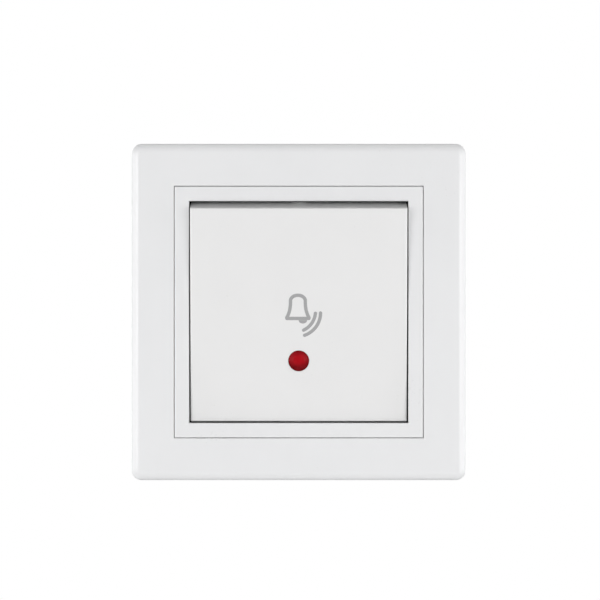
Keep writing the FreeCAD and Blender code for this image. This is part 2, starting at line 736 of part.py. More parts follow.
def make_housing_base():
    """Deep moulded cup with screw bosses, terminal pockets, the spring's seat and the wire entries."""
    body = new_body("housing_base")
    pad(body, "XZ", "deck_thick", "housing_depth", housing_outline("0"))
    dress(body, "Chamfer", "housing_bevel", lies_in("Y", value("housing_depth")))
    pocket(body, "XZ", "deck_thick", FLOOR_FRONT, housing_outline("housing_wall"))
    bosses = [circle("boss_radius", across, up) for across, up in screw_places()]
    pad(body, "XZ", "deck_thick + post_length + running_gap", FLOOR_FRONT, *bosses)
    pad(body, "XZ", SPRING_SEAT, FLOOR_FRONT, circle("spring_seat_radius", "0", NOSE_RISE))
    pad(body, "XZ", f"{SPRING_SEAT} - spring_spigot", SPRING_SEAT,
        circle("spring_spigot_radius", "0", NOSE_RISE))
    pocket_width = "terminal_width + 2 * running_gap"
    for side in (-1, 1):
        across = f"{side} * {TERMINAL_PLACE}"
        outer = f"{pocket_width} + 2 * pocket_wall"
        mouth = f"{TERMINAL_BACK} - pocket_depth"
        pad(body, "XZ", mouth, FLOOR_FRONT, centred(outer, outer, across, TERMINAL_PLACE))
        pocket(body, "XZ", mouth, TERMINAL_BACK,
               centred(pocket_width, pocket_width, across, TERMINAL_PLACE))
        pocket(body, "XZ", TERMINAL_BACK, "housing_depth", circle("entry_radius", across, TERMINAL_PLACE))
        middle = f"({TERMINAL_FRONT} + {TERMINAL_BACK}) / 2"
        pocket(body, "XY", f"{TERMINAL_PLACE} + terminal_width / 2", "housing_size / 2",
               circle("entry_radius", across, middle))
    holes = [circle("screw_radius + deck_gap", across, up) for across, up in screw_places()]
    pocket(body, "XZ", "deck_thick + post_length", "housing_depth", *holes)
    seats = [circle("screw_head_radius + deck_gap", across, up) for across, up in screw_places()]
    pocket(body, "XZ", "housing_depth - screw_seat", "housing_depth", *seats)


def make_housing_screws():
    """Three pan head screws that hold the base to the posts of the deck, one node."""
    body = new_body("housing_screws")
    seat = "(housing_depth - screw_seat)"
    heads = [circle("screw_head_radius", across, up) for across, up in screw_places()]
    pad(body, "XZ", seat, f"{seat} + screw_head_thick", *heads)
    dress(body, "Chamfer", "screw_bevel", lies_in("Y", value(f"{seat} + screw_head_thick")))
    shanks = [circle("screw_radius", across, up) for across, up in screw_places()]
    pad(body, "XZ", "deck_thick + post_length - screw_bite", seat, *shanks)


# Plunger, contacts and spring

def make_contact_plunger():
    """Round stem in the guide, a block that stops at it, and the pin that carries bar and spring."""
    body = new_body("contact_plunger")
    pin_end = f"{BAR_BACK} + pin_length"
    revolve(body, "XY", "Y", [("0", STEM_FRONT), ("stem_radius - stem_bevel", STEM_FRONT),
                              ("stem_radius", f"{STEM_FRONT} + stem_bevel"), ("stem_radius", BAR_FRONT),
                              ("pin_radius", BAR_FRONT), ("pin_radius", f"{pin_end} - stem_bevel"),
                              ("pin_radius - stem_bevel", pin_end), ("0", pin_end)])
    pad(body, "XZ", BLOCK_FRONT, BAR_FRONT, centred("block_width", "block_height"))
    place(body, up=NOSE_RISE)


def make_contact_bar():
    """Flat bridging bar behind the plunger's block, with a hole for the pin."""
    body = new_body("contact_bar")
    pad(body, "XZ", BAR_FRONT, BAR_BACK, centred("bar_width", "bar_height"))
    dress(body, "Fillet", "bar_round", corner_edge(value("bar_width / 2"), value("bar_height / 2")))
    pocket(body, "XZ", BAR_FRONT, BAR_BACK, circle("pin_radius + running_gap"))
    place(body, up=NOSE_RISE)


def make_stud(name, side, seat, height, sign):
    """Silver contact button on a strip or bar, with a bevelled face."""
    body = new_body(name)
    tip = f"{sign} * {height}"
    revolve(body, "XY", "Y", [("0", "0"), ("stud_radius", "0"),
                              ("stud_radius", f"{tip} - {sign} * stud_bevel"),
                              ("stud_radius - stud_bevel", tip), ("0", tip)])
    place(body, f"{side} * stud_place", seat, NOSE_RISE)


def make_fixed_contact(name, side):
    """Flat strip that lies on the terminal block and holds the fixed stud at its free end."""
    body = new_body(name)
    low = f"{NOSE_RISE} - strip_height / 2"
    high = f"{NOSE_RISE} + strip_height / 2"
    pad(body, "XZ", STRIP_FRONT, TERMINAL_FRONT,
        side_span(side, "strip_inner", f"{TERMINAL_PLACE} + terminal_width / 2", low, high))
    end = value(f"{side} * strip_inner")

    def free_end(edge):
        box = edge.BoundBox
        return abs(box.XMin - end) < TINY and abs(box.XMax - end) < TINY and box.YLength > TINY
    dress(body, "Fillet", "strip_round", free_end)


def make_return_spring():
    """Wire helix from the contact bar to its seat on the base; its section has six sides."""
    body = new_body("return_spring")
    sketch = new_sketch(body, "XY", "0")
    corners = []
    for step in range(6):
        turn = f"{60 * step + 30} * 1 deg"
        corners.append((f"spring_radius + spring_wire * cos({turn})",
                        f"{BAR_BACK} + spring_wire + spring_wire * sin({turn})"))
    polygon(corners)(sketch)
    coil = body.newObject("PartDesign::AdditiveHelix", "Coil")
    coil.Profile = (sketch, [""])
    coil.ReferenceAxis = (origin_item(body, "Y_Axis"), [""])
    coil.Mode = "height-turns-angle"
    coil.setExpression("Height", formula("spring_length - 2 * spring_wire"))
    coil.setExpression("Turns", formula("spring_turns"))
    finish_feature(body, coil, True)
    place(body, up=NOSE_RISE)


# Terminals

def make_terminal_block(name, side):
    """Brass block with a wire bore from the rear and a threaded hole for the clamp screw from above."""
    body = new_body(name)
    half = value("terminal_width / 2")
    pad(body, "XZ", TERMINAL_FRONT, TERMINAL_BACK, centred("terminal_width", "terminal_width"))
    dress(body, "Chamfer", "terminal_bevel", corner_edge(half, half))
    pocket(body, "XZ", TERMINAL_FRONT, TERMINAL_BACK, circle("wire_radius"))
    middle = f"({TERMINAL_FRONT} + {TERMINAL_BACK}) / 2"
    pocket(body, "XY", "0", "terminal_width / 2", circle("clamp_radius + running_gap", "0", middle))
    place(body, f"{side} * {TERMINAL_PLACE}", "0", TERMINAL_PLACE)


def make_terminal_screw(name, side):
    """Clamp screw with a cheese head, standing over the wire bore."""
    body = new_body(name)
    neck = "clamp_length - clamp_head_thick"
    revolve(body, "XZ", "Z", [("0", "0"), ("clamp_radius - clamp_bevel", "0"),
                              ("clamp_radius", "clamp_bevel"), ("clamp_radius", neck),
                              ("clamp_head_radius", neck),
                              ("clamp_head_radius", "clamp_length - clamp_bevel"),
                              ("clamp_head_radius - clamp_bevel", "clamp_length"), ("0", "clamp_length")])
    place(body, f"{side} * {TERMINAL_PLACE}", f"({TERMINAL_FRONT} + {TERMINAL_BACK}) / 2",
          f"{TERMINAL_PLACE} + wire_radius + deck_gap")


# Indicator lamp and its leads

def make_neon_lamp():
    """Small glass lamp with a round nose and a flat rear end, behind the lens."""
    body = new_body("neon_lamp")
    pad(body, "XZ", LAMP_FRONT, LAMP_BACK, circle("lamp_radius"))
    dress(body, "Fillet", "lamp_round", lies_in("Y", value(LAMP_FRONT)))
    place(body, up="-lens_drop")


def make_lamp_resistor():
    """Resistor with two end caps and the lead that rises to the right terminal block."""
    body = new_body("lamp_resistor")
    cap = "resistor_cap"
    length = "resistor_length"
    lead_end = f"({TERMINAL_PLACE} - terminal_width / 2 + resistor_drop)"
    revolve(body, "XZ", "Z", [("0", "0"), ("resistor_radius", "0"), ("resistor_radius", cap),
                              ("resistor_waist", f"{cap} + resistor_radius - resistor_waist"),
                              ("resistor_waist", f"{length} - {cap} - resistor_radius + resistor_waist"),
                              ("resistor_radius", f"{length} - {cap}"), ("resistor_radius", length),
                              ("lead_radius", length), ("lead_radius", lead_end), ("0", lead_end)])
    place(body, LEAD_SIDE, LEAD_DEPTH, "-resistor_drop")


def bent_wire(corners, radius, bend):
    """Round wire along straight runs joined by tangent arcs."""
    edges = []
    start = corners[0]
    for before, corner, after in zip(corners, corners[1:], corners[2:]):
        arriving = (corner - before).normalize()
        leaving = (after - corner).normalize()
        turn = arriving.getAngle(leaving)
        reach = bend * math.tan(turn / 2)
        arc_start = corner - arriving * reach
        arc_end = corner + leaving * reach
        inward = (leaving - arriving).normalize()
        middle = corner + inward * (bend / math.cos(turn / 2) - bend)
        edges.append(Part.LineSegment(start, arc_start).toShape())
        edges.append(Part.Arc(arc_start, middle, arc_end).toShape())
        start = arc_end
    edges.append(Part.LineSegment(start, corners[-1]).toShape())
    path = Part.Wire(edges)
    ring = Part.Wire(Part.makeCircle(radius, corners[0], (corners[1] - corners[0]).normalize()))
    return path.makePipeShell([ring], True, True)


def make_lamp_lead(name, side, end_height):
    """Stiff lead from the lamp's rear end back, out to the side and up."""
    lead = doc.addObject("Part::Feature", name)
    lead.Label = name
    corners = [(f"{side} * lead_across", LAMP_BACK, "-lens_drop"),
               (f"{side} * lead_across", f"({LAMP_BACK} + {LEAD_DEPTH}) / 2", "-lens_drop"),
               (f"{side} * {LEAD_SIDE}", LEAD_DEPTH, "-lens_drop + resistor_radius"),
               (f"{side} * {LEAD_SIDE}", LEAD_DEPTH, end_height)]
    points = [FreeCAD.Vector(*(value(text) for text in corner)) for corner in corners]
    lead.Shape = bent_wire(points, value("lead_radius"), value("lead_bend"))
    lead.Placement = FreeCAD.Placement()
    parts[name] = lead


# Claws

def make_claw(name, side):
    """Pressed steel claw: two cheeks beside its screw, an outer web, saw teeth and pivot holes."""
    body = new_body(name)
    half = "(claw_inner / 2 + claw_thick)"
    outer = "claw_depth"
    tooth = f"({outer} + claw_tooth)"
    step = "claw_tooth_pitch"
    side_view = [("-claw_round", "0"), ("-claw_nose", "-claw_heel"), ("claw_tip", "-claw_length"),
                 (tooth, "-claw_length"), (outer, f"-claw_length + {step}"),
                 (tooth, f"-claw_length + {step}"), (outer, f"-claw_length + 2 * {step}"),
                 (outer, "-claw_shoulder"), ("claw_round", "0")]
    pad(body, "XY", f"-{half}", half, polygon([(f"{side} * {x}", y) for x, y in side_view]))
    pad(body, "XY", f"-{half}", half, circle("claw_round"))
    web = f"({outer} - claw_thick)"
    near = "-claw_round - claw_thick"
    below = "-claw_length - claw_thick"
    room = [(near, "claw_depth"), (near, below), (web, below), (web, "-claw_shoulder"),
            (tooth, "-claw_shoulder + claw_tooth_pitch"), (tooth, "claw_depth")]
    pocket(body, "XY", "-claw_inner / 2", "claw_inner / 2",
           polygon([(f"{side} * ({x})", y) for x, y in room]))
    pocket(body, "XY", f"-{half}", half, circle("nut_trunnion + running_gap"))
    place(body, f"{side} * {CLAW_PLACE}", "claw_pivot")


def make_claw_nut(name, side):
    """Square nut on the claw's screw with a trunnion above and below for the claw."""
    body = new_body(name)
    pad(body, "XY", "-nut_height / 2", "nut_height / 2", centred("nut_width", "nut_length"))
    reach = "(claw_inner / 2 + claw_thick + ear_play)"
    pad(body, "XY", f"-{reach}", reach, circle("nut_trunnion"))
    pocket(body, "XZ", "-nut_length", "nut_length", circle("claw_screw_radius + running_gap"))
    place(body, f"{side} * {CLAW_PLACE}", "claw_pivot")


def make_claw_screw(name, side):
    """Long screw through the bridge, its head in front and its nut near the end."""
    body = new_body(name)
    bevel = "claw_screw_bevel"
    head = "claw_head_radius"
    shank = "claw_screw_radius"
    length = "claw_screw_length"
    revolve(body, "XY", "Y", [("0", "-claw_head_thick"), (f"{head} - {bevel}", "-claw_head_thick"),
                              (head, f"-claw_head_thick + {bevel}"), (head, "0"), (shank, "0"),
                              (shank, f"{length} - {bevel}"), (f"{shank} - {bevel}", length),
                              ("0", length)])
    place(body, f"{side} * {CLAW_PLACE}", BRIDGE_FRONT)


def check_document():
    """Stop if any object failed or any sub-part has no valid shape."""
    doc.recompute()
    for item in doc.Objects:
        if {"Invalid", "Error"} & set(item.State):
            raise RuntimeError(f"{item.Name} failed: {item.State}")
    for name, part in parts.items():
        if part.Shape.isNull() or not part.Shape.isValid() or not part.Shape.Solids:
            raise RuntimeError(f"{name} has no valid solid")


make_cover_frame()
make_inner_frame()
make_rocker_key()
make_indicator_lens()
make_rocker_carrier()
make_mounting_bridge()
make_housing_front()
make_housing_base()
make_housing_screws()
make_contact_plunger()
make_contact_bar()
make_return_spring()
make_neon_lamp()
make_lamp_resistor()
make_lamp_lead("lamp_lead_left", -1, f"{TERMINAL_PLACE} - terminal_width / 2")
make_lamp_lead("lamp_lead_right", 1, "-resistor_drop")
for word, sign in SIDES:
    make_stud(f"moving_stud_{word}", sign, BAR_BACK, "stud_height", 1)
    make_stud(f"fixed_stud_{word}", sign, STRIP_FRONT, "stud_height", -1)
    make_fixed_contact(f"fixed_contact_{word}", sign)
    make_terminal_block(f"terminal_block_{word}", sign)
    make_terminal_screw(f"terminal_screw_{word}", sign)
    make_claw(f"claw_{word}", sign)
    make_claw_nut(f"claw_nut_{word}", sign)
    make_claw_screw(f"claw_screw_{word}", sign)

check_document()
os.makedirs("parts", exist_ok=True)
for name, part in parts.items():
    part.Shape.exportStep(os.path.join("parts", name + ".step"))
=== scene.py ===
import json
import math

import bmesh
import bpy
import numpy as np
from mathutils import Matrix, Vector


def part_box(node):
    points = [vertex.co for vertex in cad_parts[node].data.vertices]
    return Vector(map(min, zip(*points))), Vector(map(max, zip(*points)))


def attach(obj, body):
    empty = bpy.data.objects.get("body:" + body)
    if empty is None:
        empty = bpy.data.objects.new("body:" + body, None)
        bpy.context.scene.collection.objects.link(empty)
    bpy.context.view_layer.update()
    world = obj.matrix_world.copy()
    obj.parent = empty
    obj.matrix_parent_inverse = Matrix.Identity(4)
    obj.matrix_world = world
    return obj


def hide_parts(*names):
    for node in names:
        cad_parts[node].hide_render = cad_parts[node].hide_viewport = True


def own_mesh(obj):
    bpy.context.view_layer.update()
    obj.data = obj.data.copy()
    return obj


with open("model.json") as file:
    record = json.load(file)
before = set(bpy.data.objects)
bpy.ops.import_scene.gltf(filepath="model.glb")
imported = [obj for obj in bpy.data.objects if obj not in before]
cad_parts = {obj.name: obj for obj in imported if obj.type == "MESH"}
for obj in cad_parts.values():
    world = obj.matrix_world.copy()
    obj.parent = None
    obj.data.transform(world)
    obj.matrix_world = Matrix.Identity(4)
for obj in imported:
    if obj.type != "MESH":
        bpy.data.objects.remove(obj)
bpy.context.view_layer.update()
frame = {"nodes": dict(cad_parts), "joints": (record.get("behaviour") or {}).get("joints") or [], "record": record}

MM = 0.001
SMOOTH_ANGLE = math.radians(40)

# The key's pivot, and how far the key leans at rest
JOINTS = {joint["name"]: joint for joint in frame["joints"]}
PIVOT = np.array(JOINTS["key_press"]["pos_m"])
REST_TILT = math.radians(4.5)

# Sockets of a Mix node that mixes colours
MIX_COLOURS = (6, 7)
MIX_RESULT = 2


# Shader sums

class Shade:
    """The output of a node in a finish; plus, minus, times and divided by add Math nodes."""

    def __init__(self, finish, socket):
        self.finish = finish
        self.socket = socket

    def math(self, operation, *values):
        return self.finish.node("ShaderNodeMath", {"operation": operation}, dict(enumerate(values)))

    def __add__(self, other):
        return self.math("ADD", self, other)

    def __sub__(self, other):
        return self.math("SUBTRACT", self, other)

    def __rsub__(self, other):
        return self.math("SUBTRACT", other, self)

    def __mul__(self, other):
        return self.math("MULTIPLY", self, other)

    def __truediv__(self, other):
        return self.math("DIVIDE", self, other)

    __radd__ = __add__
    __rmul__ = __mul__


class Finish:
    """One material: a surface shader with fixed values and the nodes that vary it."""

    def __init__(self, name, **constants):
        self.material = bpy.data.materials.new(name)
        self.material.use_nodes = True
        self.tree = self.material.node_tree
        self.shader = self.tree.nodes["Principled BSDF"]
        for word, number in constants.items():
            self.shader.inputs[word.replace("_", " ").title().replace("Ior", "IOR")].default_value = number
        self.place = self.node("ShaderNodeTexCoord", {}, {}, "Object")

    def node(self, kind, settings, sockets, output=0):
        """A node of a kind: its settings first, then a number or a link for each named socket."""
        made = self.tree.nodes.new(kind)
        for word, setting in settings.items():
            setattr(made, word, setting)
        for word, given in sockets.items():
            if isinstance(given, Shade):
                self.tree.links.new(given.socket, made.inputs[word])
            else:
                made.inputs[word].default_value = given
        return Shade(self, made.outputs[output])

    def feed(self, word, shade):
        """Link a varying value to one socket of the surface shader."""
        self.tree.links.new(shade.socket, self.shader.inputs[word])

    def stretched(self, scale):
        """The object's coordinates, stretched along each axis."""
        return self.node("ShaderNodeMapping", {}, {"Vector": self.place, "Scale": scale})

    def noise(self, scale, detail=2.0, roughness=0.5, where=None):
        """Cloudy noise of about scale lumps per metre."""
        return self.node("ShaderNodeTexNoise", {}, {
            "Vector": where or self.place, "Scale": scale, "Detail": detail, "Roughness": roughness}, "Fac")

    def steps(self, value, low, high):
        """Zero below the low value, one above the high one, and a smooth rise between."""
        return self.node("ShaderNodeMapRange", {"interpolation_type": "SMOOTHSTEP"}, {
            "Value": value, "From Min": low, "From Max": high})

    def blend(self, factor, dark, light):
        """A colour between two, by a factor from zero to one."""
        ends = {index: colour if isinstance(colour, Shade) else (*colour, 1.0)
                for index, colour in zip(MIX_COLOURS, (dark, light))}
        return self.node("ShaderNodeMix", {"data_type": "RGBA"}, {"Factor": factor, **ends}, MIX_RESULT)

    def relief(self, height, distance):
        """Bump the surface by a height, whose whole range is worth the distance in metres."""
        self.feed("Normal", self.node("ShaderNodeBump", {}, {
            "Strength": 1.0, "Distance": distance, "Height": height}, "Normal"))


def moulding(name, colour, spread, gloss, texture, depth, speckle=0.0):
    """Moulded plastic: a slow drift of colour, a fine skin texture and small changes of gloss."""
    finish = Finish(name, ior=1.48)
    drift = finish.noise(70.0, 3.0)
    dark = tuple(channel * (1 - spread) for channel in colour)
    light = tuple(min(1.0, channel * (1 + spread)) for channel in colour)
    tone = finish.blend(finish.steps(drift, 0.3, 0.7), dark, light)
    if speckle:
        dots = finish.steps(finish.noise(2600.0, 1.0), 0.62, 0.72)
        tone = finish.blend(dots * speckle, tone, tuple(channel * 0.4 for channel in colour))
    finish.feed("Base Color", tone)
    skin = finish.noise(texture, 4.0, 0.6)
    finish.feed("Roughness", gloss + 0.10 * (skin - 0.5) + 0.06 * (drift - 0.5))
    finish.relief(skin, depth)
    return finish.material


def metal(name, colour, gloss, lines, depth, tarnish=0.15, painted_shade_front=None):
    """Metal with drawn lines along one axis, cloudy tarnish and fine pits. Where the place of its front face along
    Y is given, that face gets painted shade: a near-black, rough coat that is not metal, standing in for the shade
    in the gaps in front of it."""
    finish = Finish(name, metallic=1.0)
    clouds = finish.noise(320.0, 4.0, 0.6)
    drawn = finish.noise(1.0, 3.0, 0.6, finish.stretched(lines))
    pits = finish.steps(finish.noise(5200.0, 1.0), 0.68, 0.8)
    dull = tuple(channel * (1 - tarnish) for channel in colour)
    tone = finish.blend(finish.steps(clouds, 0.35, 0.65), dull, colour)
    roughness = gloss + 0.16 * (clouds - 0.5) + 0.12 * (drawn - 0.5) + 0.2 * pits
    if painted_shade_front is not None:
        # Painted shade on the front face: near black, rough and not metal, for the shade in the gaps
        depth_in = finish.node("ShaderNodeSeparateXYZ", {}, {"Vector": finish.place}, "Y")
        unshaded = finish.steps(depth_in, painted_shade_front + 0.05 * MM, painted_shade_front + 0.15 * MM)
        tone = finish.blend(unshaded, (0.03, 0.03, 0.03), tone)
        roughness = roughness + 0.5 * (1 - unshaded)
        finish.feed("Metallic", unshaded)
    finish.feed("Base Color", tone)
    finish.feed("Roughness", roughness)
    finish.relief(drawn - 0.6 * pits, depth)
    return finish.material


def lens_red():
    """Clear red moulding with a faint inner grain, with painted light in a wide oval a little above its middle and
    painted shade, a deep red, round its rim."""
    finish = Finish("lens_red", ior=1.3, specular_ior_level=0.12)
    painted_light_lift = 0.25 * MM
    oval_squeeze = (0.65, 0.0, 1.0)
    painted_light_reach, painted_shade_reach = 0.5 * MM, 2.4 * MM
    low, high = (np.array(corner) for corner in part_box("indicator_lens"))
    centre = tuple((low + high) / 2 + (0, 0, painted_light_lift))
    offset = finish.node("ShaderNodeVectorMath", {"operation": "SUBTRACT"}, {0: finish.place, 1: centre})
    flat = finish.node("ShaderNodeVectorMath", {"operation": "MULTIPLY"}, {0: offset, 1: oval_squeeze})
    reach = finish.node("ShaderNodeVectorMath", {"operation": "LENGTH"}, {0: flat}, "Value")
    # Painted light and shade: bright red in the oval, falling to deep red at the rim
    rim = finish.steps(reach, painted_light_reach, painted_shade_reach)
    grain = finish.noise(900.0, 3.0)
    tone = finish.blend(rim, (0.36, 0.004, 0.009), (0.13, 0.003, 0.005))
    finish.feed("Base Color", finish.blend(finish.steps(grain, 0.3, 0.8) * 0.15, tone, (0.6, 0.03, 0.04)))
    finish.feed("Roughness", 0.16 + 0.1 * grain)
    finish.relief(grain, 2e-6)
    return finish.material


def sign_grey():
    """Matt grey print with a slightly uneven film of ink."""
    finish = Finish("sign_grey", ior=1.45)
    film = finish.noise(1800.0, 3.0, 0.6)
    finish.feed("Base Color", finish.blend(film, (0.327, 0.327, 0.331), (0.362, 0.362, 0.366)))
    finish.feed("Roughness", 0.45 + 0.15 * film)
    finish.relief(film, 1.5e-6)
    return finish.material


def lamp_glass():
    """Thin clear glass with a faint warm tint and small waves."""
    finish = Finish("lamp_glass", ior=1.45, transmission_weight=0.9)
    waves = finish.noise(500.0, 2.0)
    finish.feed("Base Color", finish.blend(waves, (0.9, 0.86, 0.8), (0.95, 0.93, 0.9)))
    finish.feed("Roughness", 0.03 + 0.05 * waves)
    finish.relief(waves, 4e-6)
    return finish.material


def resistor_lacquer():
    """Beige lacquer with four colour bands round the resistor's body, and a tinned lead above it."""
    finish = Finish("resistor_lacquer", ior=1.5)
    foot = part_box("lamp_resistor")[0][2]
    body_top = foot + 6.5 * MM
    band, soft_edge, lead_edge = 0.5 * MM, 0.05 * MM, 0.02 * MM
    orange, yellow, gold = (0.75, 0.22, 0.03), (0.75, 0.62, 0.05), (0.6, 0.42, 0.12)
    up = finish.node("ShaderNodeSeparateXYZ", {}, {"Vector": finish.place}, "Z")
    tone = (0.58, 0.42, 0.24)
    for height, colour in ((1.9, orange), (2.8, orange), (3.7, yellow), (4.9, gold)):
        start = foot + height * MM
        above = finish.steps(up, start, start + soft_edge)
        past = finish.steps(up, start + band, start + band + soft_edge)
        tone = finish.blend(above * (1 - past), tone, colour)
    lead = finish.steps(up, body_top - lead_edge, body_top + lead_edge)
    finish.feed("Base Color", finish.blend(lead, tone, (0.66, 0.66, 0.67)))
    finish.feed("Metallic", lead)
    skin = finish.noise(1500.0, 3.0)
    finish.feed("Roughness", 0.3 + 0.12 * skin)
    finish.relief(skin, 4e-6)
    return finish.material


WHITE = (0.775, 0.778, 0.785)
KEY_WHITE = (0.775, 0.773, 0.772)
FINISHES = {
    "white_frame": moulding("frame_white", WHITE, 0.006, 0.30, 1400.0, 1.2e-6),
    "white_key": moulding("key_white", KEY_WHITE, 0.006, 0.30, 1400.0, 1.2e-6),
    "red_lens": lens_red(),
    "grey_moulding": moulding("deck_grey", (0.30, 0.31, 0.33), 0.04, 0.50, 1900.0, 6e-6),
    "light_housing": moulding("housing_grey", (0.56, 0.56, 0.54), 0.03, 0.55, 1700.0, 8e-6, 0.25),
    "white_plunger": moulding("plunger_white", (0.72, 0.71, 0.66), 0.02, 0.42, 1800.0, 4e-6),
    "zinc_steel": metal("zinc_steel", (0.58, 0.60, 0.63), 0.36, (300.0, 300.0, 6000.0), 3e-6),
    "spring_steel": metal("spring_steel", (0.55, 0.55, 0.56), 0.28, (4000.0, 600.0, 4000.0), 2e-6),
    "copper_alloy": metal("copper_alloy", (0.84, 0.56, 0.36), 0.30, (500.0, 5000.0, 5000.0), 3e-6, 0.2),
    "terminal_brass": metal("terminal_brass", (0.83, 0.66, 0.34), 0.28, (5000.0, 500.0, 5000.0), 4e-6, 0.2),
    "silver_contact": metal("silver_contact", (0.86, 0.85, 0.82), 0.20, (2500.0, 2500.0, 2500.0), 1e-6),
    "tinned_wire": metal("tinned_wire", (0.72, 0.72, 0.72), 0.26, (2500.0, 2500.0, 2500.0), 1e-6),
    "clear_glass": lamp_glass(),
    "resistor_body": resistor_lacquer(),
}
OWN_FINISHES = {
    # The bridge's front face, seen only through the gaps, gets painted shade
    "mounting_bridge": metal("bridge_zinc", (0.54, 0.56, 0.59), 0.36, (300.0, 300.0, 6000.0), 3e-6,
                             painted_shade_front=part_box("mounting_bridge")[0][1]),
}


def dress_nodes():
    """Give every CAD node its own finish, or else the finish of its slot."""
    for entry in frame["record"]["subparts"]:
        node = frame["nodes"][entry["node"]]
        finish = OWN_FINISHES.get(entry["node"], FINISHES[entry["material_slot"]])
        if node.data.materials:
            for index in range(len(node.data.materials)):
                node.data.materials[index] = finish
        else:
            node.data.materials.append(finish)


# Mesh building

def grid_faces(rows, columns, round_rows=False, round_columns=False):
    """Quads over points in row order; the grid closes on itself where it is said to go round."""
    row, column = np.meshgrid(np.arange(rows - (not round_rows)), np.arange(columns - (not round_columns)),
                              indexing="ij")
    next_row = (row + 1) % rows
    next_column = (column + 1) % columns
    corners = (row * columns + column, row * columns + next_column,
               next_row * columns + next_column, next_row * columns + column)
    return np.stack(corners, axis=-1).reshape(-1, 4)


def add_piece(name, sheets, finish, body):
    """One object from several sheets of points and faces, merged, with its faces turned outwards."""
    points = np.concatenate([sheet_points for sheet_points, _ in sheets])
    starts = np.cumsum([0] + [len(sheet_points) for sheet_points, _ in sheets[:-1]])
    faces = [face for start, (_, sheet_faces) in zip(starts, sheets)
             for face in (sheet_faces + start).tolist()]
    mesh = bpy.data.meshes.new(name)
    mesh.from_pydata(points.tolist(), [], faces)
    shell = bmesh.new()
    shell.from_mesh(mesh)
    bmesh.ops.remove_doubles(shell, verts=shell.verts, dist=1e-7)
    bmesh.ops.recalc_face_normals(shell, faces=shell.faces)
    shell.to_mesh(mesh)
    shell.free()
    mesh.shade_smooth()
    mesh.set_sharp_from_angle(angle=SMOOTH_ANGLE)
    piece = bpy.data.objects.new(name, mesh)
    bpy.context.scene.collection.objects.link(piece)
    mesh.materials.append(finish)
    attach(piece, body)
    return piece


def lean_with_key(points):
    """Turn points of the key's own frame, in metres from the pivot, to where the key rests."""
    x, y, z = points.T
    cos, sin = math.cos(REST_TILT), math.sin(REST_TILT)
    return np.stack([x, y * cos - z * sin, y * sin + z * cos], axis=1) + PIVOT


# Bell sign, whose places are taken from the key's pivot

SIGN_DEPTH = 0.03 * MM
KEY_FACE = -9.24 * MM
SIGN_FOOT = -1.30 * MM
SIGN_MIDDLE = -0.20 * MM
STROKE = 0.81 * MM
WAVE_STROKE = 0.80 * MM
END_STEPS = 7


def sign_sheet(edge, other_edge, lift=SIGN_DEPTH):
    """A thin closed plate on the key's face between two edges that run side by side and meet at both ends."""
    rings = [(edge, lift), (other_edge, lift), (other_edge, -lift), (edge, -lift)]
    points = np.concatenate([
        np.stack([line[:, 0] + SIGN_MIDDLE, np.full(len(line), KEY_FACE - rise),
                  line[:, 1] + SIGN_FOOT], axis=1)
        for line, rise in rings])
    return lean_with_key(points), grid_faces(4, len(edge), round_rows=True)


def stroke(path, width, lift=SIGN_DEPTH):
    """A line of one width along a path; past each end its width falls as a half circle does."""
    half = width / 2
    turn = np.linspace(0, math.pi / 2, END_STEPS + 1)[1:]
    ends = np.stack([np.sin(turn), np.cos(turn)], axis=1)
    along = np.gradient(path, axis=0)
    along /= np.linalg.norm(along, axis=1)[:, None]
    before = path[0] - half * ends[::-1, :1] * along[0]
    after = path[-1] + half * ends[:, :1] * along[-1]
    middle = np.concatenate([before, path, after])
    directions = np.concatenate([np.repeat(along[:1], END_STEPS, axis=0), along,
                                 np.repeat(along[-1:], END_STEPS, axis=0)])
    across = np.stack([-directions[:, 1], directions[:, 0]], axis=1)
    share = np.concatenate([ends[::-1, 1], np.ones(len(path)), ends[:, 1]])
    offset = across * (share * half)[:, None]
    return sign_sheet(middle + offset, middle - offset, lift)


def bell_path():
    """From one foot of the bell up its side, whose flare falls with the height to the power of two and a
    half, over the half ellipse of the dome and down the other side."""
    dome_across, dome_up, dome_level = 1.78 * MM, 1.33 * MM, 4.75 * MM
    foot_level, flare, flare_power = 0.66 * MM, 0.90 * MM, 2.5
    level = np.linspace(foot_level, dome_level, 26)
    share = (dome_level - level) / (dome_level - foot_level)
    side = np.stack([dome_across + flare * share ** flare_power, level], axis=1)
    angle = np.linspace(0, math.pi, 40)[1:-1]
    dome = np.stack([dome_across * np.cos(angle), dome_level + dome_up * np.sin(angle)], axis=1)
    return np.concatenate([side, dome, (side * (-1, 1))[::-1]])


def ring_part(centre, radius, start, end):
    """Points along a part of a circle between two angles in degrees."""
    sweep = np.radians(np.linspace(start, end, 36))
    return np.array(centre) + radius * np.stack([np.cos(sweep), np.sin(sweep)], axis=1)


def clapper_sheet():
    """The lower half of an ellipse under the foot, to the right of the middle."""
    middle, half_width, level, drop = 1.20 * MM, 1.02 * MM, 0.05 * MM, 0.80 * MM
    turn = np.linspace(0, math.pi, 28)
    across = middle - half_width * np.cos(turn)
    top = np.stack([across, np.full(len(turn), level)], axis=1)
    bottom = np.stack([across, level - drop * np.sin(turn)], axis=1)
    return sign_sheet(top, bottom, 0.6 * SIGN_DEPTH)


